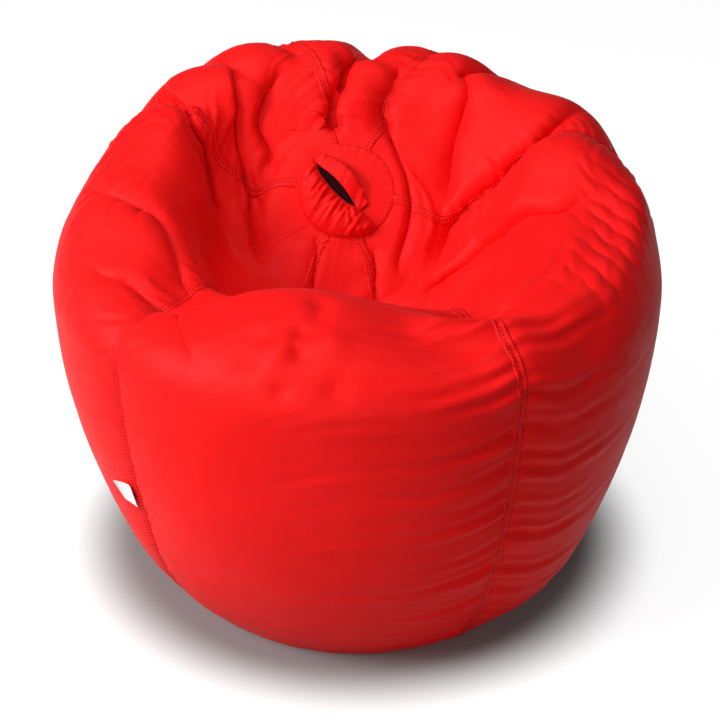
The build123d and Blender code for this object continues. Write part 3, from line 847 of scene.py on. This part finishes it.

# the slot is not cut open: a dark lens-shaped sheet just above the cap, under the strap, is painted shade for
# the shadowed inside of the bag
sweep = np.linspace(-pi / 2, pi / 2, 25)
lens = np.repeat((SLOT_U + SLOT_HALF * np.sin(sweep))[:, None], 7, 1)
lens_w = slot_edge(lens) + (0.006 - slot_edge(lens)) * np.linspace(-0.05, 1, 7) * np.cos(sweep)[:, None]
slot_points = on_cap(lens, lens_w, 0.0065 + 0 * lens)
hand_slot_shade_sheet = mesh_piece("hand_slot_shade_sheet", slot_points, grid_faces(25, 7)[:, ::-1])
lay_uv(hand_slot_shade_sheet, lens, lens_w)
finish_piece(hand_slot_shade_sheet, painted_slot_shade)
print("cap", len(cap.data.vertices))

# %% [markdown]
# The strap is a strip of the cover's cloth, folded along its length and sewn down at both ends. Here it
# is a closed tube, flat and soft at its edges, that bows over the slot.

# %% Make the strap
STRAP_W, STRAP_HALF, STRAP_SPAN, STRAP_TAB = 0.011, 0.012, 0.076, 0.010
run = np.linspace(-STRAP_SPAN / 2 - STRAP_TAB, STRAP_SPAN / 2 + STRAP_TAB, 61)
share = run / run.max()
bow = STRAP_W - 0.009 * share**2
arch = 0.010 * np.clip(1 - (run / (STRAP_SPAN / 2)) ** 2, 0, 1) ** 1.3
around = np.linspace(0, 2 * pi, 20, endpoint=False)
side = np.sign(np.cos(around)) * np.abs(np.cos(around)) ** 0.6 * STRAP_HALF
puff = 0.0024 + 0.0022 * (1 - share**2)
strap_u = np.repeat((SLOT_U + run)[:, None], 20, 1)
strap_w = bow[:, None] + side * (1 - 0.25 * share[:, None] ** 2)
lift = 0.0075 + arch[:, None] + puff[:, None] * np.sin(around)
wrinkle = 0.0009 * ripple(strap_u + 0.5 * strap_w, 0.016, 8)
strap_points = on_cap(strap_u, strap_w, lift + wrinkle)
faces = grid_faces(20, 61, True)
strap = mesh_piece("handle_cloth", np.swapaxes(strap_points, 0, 1), faces)
lay_uv(strap, np.swapaxes(strap_w, 0, 1), np.swapaxes(strap_u, 0, 1))
finish_piece(strap, cover_cloth)
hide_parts("handle_strap")
rows = []
for offset in (-0.009, 0.009):
    line = on_cap(SLOT_U + run, bow + offset, 0.0075 + arch + 0.8 * puff)
    rows.append((line, np.tile(np.array(CAP_OUT), (61, 1))))
points, faces = stitch_row(rows, 0.0006, 0.0006)
strap_stitches = finish_piece(mesh_piece("handle_stitches", points, faces), thread)
print("strap", len(strap.data.vertices))

# %% [markdown]
# ## The label
# The label is a small loop of white cloth, blank, with its cut ends in the seam. It turns on the hinge
# that the measured model gives, so it is built from that hinge, and its free edge curls a little.

# %% Make the label
flap = next(joint for joint in frame["joints"] if joint["name"] == "tag_flap")
low, high = (Vector(corner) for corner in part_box("seam_tag"))
TAG_WIDTH, TAG_HEIGHT = 0.026, 0.038
TAG_PLY, TAG_FOLD, TAG_CURL = 0.00035, 0.0006, 0.009
HEM_LAP, HEM_REACH, HEM_LIFT = 0.0004, 0.0032, 0.0004
tag_up = Vector(flap["axis"]).normalized()
tag_side = Vector(flap["pos_m"]) - (low + high) / 2
tag_side = (tag_side - tag_side.dot(tag_up) * tag_up).normalized()
tag_out = tag_side.cross(tag_up)
tag_middle = Vector(flap["pos_m"]) - tag_side * TAG_WIDTH / 2

bend = np.linspace(-pi / 2, pi / 2, 7)
straight = np.linspace(TAG_WIDTH / 2, -TAG_WIDTH / 2 + TAG_FOLD, 14)
loop_x = np.concatenate([straight, -TAG_WIDTH / 2 + TAG_FOLD - TAG_FOLD * np.cos(bend), straight[::-1]])
loop_z = np.concatenate([np.full(14, -TAG_PLY), TAG_PLY * np.sin(bend), np.full(14, TAG_PLY)])
up = np.linspace(-TAG_HEIGHT / 2, TAG_HEIGHT / 2, 13)
free = (TAG_WIDTH / 2 - loop_x) / TAG_WIDTH
curl = TAG_CURL * free[:, None] ** 1.5 * (0.6 + 0.4 * up[None] / up.max())
place = [np.repeat(value[:, None], 13, 1) for value in (loop_x, loop_z)]
side_axis, up_axis, out_axis = (np.array(axis) for axis in (tag_side, tag_up, tag_out))
tag_points = np.array(tag_middle) + place[0][..., None] * side_axis
tag_points = tag_points + up[None, :, None] * up_axis + (place[1] + curl)[..., None] * out_axis
tag = mesh_piece("label_loop", tag_points, grid_faces(len(loop_x), 13))
lay_uv(tag, place[0], np.repeat(up[None], len(loop_x), 0))
finish_piece(tag, label_cloth, body="tag")
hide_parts("seam_tag")
# the sewn end stays on the bag and runs under the felled seam
lap = np.linspace(TAG_WIDTH / 2 - HEM_LAP, TAG_WIDTH / 2 + HEM_REACH, 5)
hem_x, hem_y = np.meshgrid(lap, up, indexing="ij")
hem_points = np.array(tag_middle) + hem_x[..., None] * side_axis + hem_y[..., None] * up_axis
hem = mesh_piece("label_hem", hem_points + HEM_LIFT * out_axis, grid_faces(5, 13))
lay_uv(hem, hem_x, hem_y)
finish_piece(hem, label_cloth)
print("label", [round(v, 4) for v in tag_middle], "out", [round(v, 2) for v in tag_out])

# %% [markdown]
# ## The base and its zip
# The base is two half discs of a plainer red cloth, each with a folded facing along the zip. The discs
# lie on the beads and wave a little. The facings are blocks with rounded edges, because a fold as
# narrow as this shows only its outside.

# %% Make the base and its facings
for half, sign in (("front", -1), ("back", 1)):
    low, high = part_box(f"base_{half}")
    radius, inner = high[0], min(abs(low[1]), abs(high[1]))
    reach = np.arccos(inner / radius)
    angles = np.linspace(-reach, reach, 73)
    share = np.concatenate([[0], np.linspace(0, 1, 25), [1]])
    x = radius * np.sin(angles)[:, None] + 0 * share
    y = inner + (radius * np.cos(angles)[:, None] - inner) * share
    z = 0.0002 + 0.0005 * (1 + ripple(x + 0.7 * y, 0.05, 21) * ripple(y - 0.4 * x, 0.07, 22))
    z[:, 0] = z[:, -1] = 0.0016
    panel = np.stack([x, sign * y, z], -1)
    faces = grid_faces(*panel.shape[:2])
    base = mesh_piece(f"base_{half}_cloth", panel, faces if sign > 0 else faces[:, ::-1])
    lay_uv(base, x, y)
    finish_piece(base, base_cloth)
    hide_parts(f"base_{half}")

    low, high = (Vector(corner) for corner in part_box(f"zip_facing_{half}"))
    bpy.ops.object.select_all(action="DESELECT")
    bpy.ops.mesh.primitive_cube_add(size=1, location=(0, 0, 0))
    facing = bpy.context.object
    facing.name = f"facing_{half}_cloth"
    facing.data.transform(Matrix.Translation((low + high) / 2) @ Matrix.Diagonal((*(high - low), 1)))
    bevel = facing.modifiers.new("rounded fold", "BEVEL")
    bevel.width, bevel.segments = 0.0012, 3
    bpy.ops.object.modifier_apply(modifier=bevel.name)
    finish_piece(facing, base_cloth)
    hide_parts(f"zip_facing_{half}")
    edge = (low.y + high.y) / 2
    line = np.stack([np.linspace(low.x, high.x, 40), np.full(40, edge), np.full(40, low.z)], -1)
    points, faces = stitch_row([(line, np.tile([0, 0, -1.0], (40, 1)))], 0.0006, 0.0004)
    facing_stitches = finish_piece(mesh_piece(f"facing_{half}_stitches", points, faces), thread)

# %% [markdown]
# A zip has two cloth tapes with moulded teeth on their inner edges. Each tape is one closed sheet. The
# teeth are copied from the measured model, so they mesh just as the solids do.

# %% Make the zip's tapes and teeth
TAPE_PLY = 0.00035
TAPE_EDGE, TOOTH_GRIP = 0.0016, 0.0010
for half, sign in (("front", -1), ("back", 1)):
    node = frame["nodes"][f"zip_tape_{half}"]
    low, high = (Vector(corner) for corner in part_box(node.name))
    outer, middle = max(abs(low.y), abs(high.y)), (low.z + high.z) / 2
    x, y = np.meshgrid(np.linspace(low.x, high.x, 121), np.linspace(TAPE_EDGE, outer, 9), indexing="ij")
    wave = 0.00012 * ripple(x + 0.3 * y, 0.03, 31)
    sides = [np.stack([x, sign * y, middle + wave + side], -1) for side in (-TAPE_PLY, TAPE_PLY)]
    around = np.swapaxes(np.concatenate([sides[0], sides[1][:, ::-1]], 1), 0, 1)
    count, length = around.shape[:2]
    faces = grid_faces(count, length, True).tolist()
    faces += [[k * length for k in range(count)], [k * length + length - 1 for k in reversed(range(count))]]
    faces = faces if sign < 0 else [face[::-1] for face in faces]
    tape = mesh_piece(f"tape_{half}_cloth", around, faces)
    lay_uv(tape, around[..., 0], around[..., 1])
    finish_piece(tape, tape_cloth)
    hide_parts(node.name)
    # what lies near the middle of the solid, without the tape's edge, is teeth
    corners = np.array([tuple(node.matrix_world @ v.co) for v in node.data.vertices])
    near = np.abs(corners[:, 1]) < TAPE_EDGE + TOOTH_GRIP + 0.0001
    edge = np.abs(np.abs(corners[:, 1]) - TAPE_EDGE) < 0.00005
    sides = [list(polygon.vertices) for polygon in node.data.polygons]
    kept = [side for side in sides if near[side].all() and not edge[side].all()]
    used, fresh = np.unique(np.concatenate(kept), return_inverse=True)
    cuts = np.cumsum([len(face) for face in kept])[:-1]
    row = mesh_piece(f"teeth_{half}", corners[used], [f.tolist() for f in np.split(fresh, cuts)])
    finish_piece(row, tooth_plastic, smooth=False)

for node in ("zip_top_stop", "zip_bottom_stop", "zip_slider", "zip_pull"):
    frame["nodes"][node].data.materials.clear()
    frame["nodes"][node].data.materials.append(zip_metal)

# %% [markdown]
# ## The fill
# Loose foam beads fill the bag. Single beads would be far too many, so they are one soft body with a
# beaded finish. It lies well inside the cover, so that no crease of the cloth reaches it.

# %% Make the fill
FILL_INSET, FILL_FLOOR = 0.042, 0.014
inner_grid = settled - grid_normals(settled) * FILL_INSET
inner_grid[..., 2] = np.maximum(inner_grid[..., 2], FILL_FLOOR)
columns, rows = inner_grid.shape[:2]
ends = np.array([np.array(POLE) - FILL_INSET * np.array(CAP_OUT), (0, 0, FILL_FLOOR)])
points = np.concatenate([inner_grid.reshape(-1, 3), ends])
faces = grid_faces(columns, rows, True).tolist()
for i in range(columns):
    after = (i + 1) % columns
    faces.append((i * rows, after * rows, columns * rows))
    faces.append((after * rows + rows - 1, i * rows + rows - 1, columns * rows + 1))
fill = mesh_piece("bead_fill_body", points, faces)
finish_piece(fill, beads)
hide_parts("bead_fill")
print("fill", len(points))

# %% [markdown]
# ## The studio
# A white floor, a large soft lamp at the upper left front, weaker ones above and in front, and even
# light all round. The floor glows for the camera and in reflections, so it reads white and puts no more
# light on the bag. Near the bag the glow fades out: a painted shadow, a darker patch round the base, in
# which the lamps' own shadow of the bag also shows.

# %% Floor, lamps and camera
bpy.ops.mesh.primitive_plane_add(size=30, location=(0, 0, -0.0005))
ground = bpy.context.object
ground.name = "floor"
white, white_shader = new_material("white_floor", "#909090", 0.9, Specular_IOR_Level=0.1)
white_shader.inputs["Emission Color"].default_value = (1, 1, 1, 1)
path = add_node(white, "ShaderNodeLightPath")
spot = add_node(white, "ShaderNodeTexCoord")
# painted shadow: the floor's glow is nought within 0.33 m of a point by the bag's middle and full beyond 0.46
# m
away = add_node(white, "ShaderNodeVectorMath", [(spot, "Object", 0)], operation="DISTANCE")
away.inputs[1].default_value = (0, 0.05, 0)
painted_shadow_fade = add_node(white, "ShaderNodeMapRange", [(away, "Value", "Value")], interpolation_type="SMOOTHSTEP")
for socket, value in (("From Min", 0.33), ("From Max", 0.46), ("To Min", 0.0), ("To Max", 0.88)):
    painted_shadow_fade.inputs[socket].default_value = value
rays = [(path, "Is Camera Ray", 0), (path, "Is Glossy Ray", 1)]
seen = add_node(white, "ShaderNodeMath", rays, operation="MAXIMUM")
rays = [(seen, "Value", 0), (path, "Is Transmission Ray", 1)]
seen = add_node(white, "ShaderNodeMath", rays, operation="MAXIMUM")
glow = add_node(white, "ShaderNodeMath", [(seen, "Value", 0), (painted_shadow_fade, "Result", 1)], operation="MULTIPLY")
join(white, glow, "Value", white_shader, "Emission Strength")
ground.data.materials.append(white)


def area_lamp(name, place, aim, size, power):
    """A square soft lamp that faces the aim."""
    lamp = bpy.data.lights.new(name, "AREA")
    lamp.size, lamp.energy = size, power
    holder = bpy.data.objects.new(name, lamp)
    holder.location = place
    holder.rotation_euler = (Vector(aim) - Vector(place)).to_track_quat("-Z", "Y").to_euler()
    bpy.context.collection.objects.link(holder)


area_lamp("key", (-2.4, -1.15, 1.9), (0, 0, 0.4), 1.3, 96)
area_lamp("top", (-0.4, -0.5, 3.0), (0, 0, 0.3), 1.6, 36)
area_lamp("front", (-0.5, -2.7, 0.8), (0, 0, 0.3), 1.2, 21)
world = bpy.data.worlds.new("studio")
world.use_nodes = True
world.node_tree.nodes["Background"].inputs["Color"].default_value = (1, 1, 1, 1)
world.node_tree.nodes["Background"].inputs["Strength"].default_value = 0.14
bpy.context.scene.world = world
bpy.context.scene.view_settings.view_transform = "Standard"

lens_data = bpy.data.cameras.new("camera")
lens_data.lens, lens_data.sensor_width = 85.4, 36
lens_data.shift_x, lens_data.shift_y = 0.0035, -0.0146
camera = bpy.data.objects.new("camera", lens_data)
CAMERA_RISE = radians(29)
camera.location = Vector((0, 0, 0.33)) + 2.4 * Vector((0, -cos(CAMERA_RISE), sin(CAMERA_RISE)))
camera.rotation_euler = (pi / 2 - CAMERA_RISE, 0, 0)
bpy.context.collection.objects.link(camera)
bpy.context.scene.camera = camera
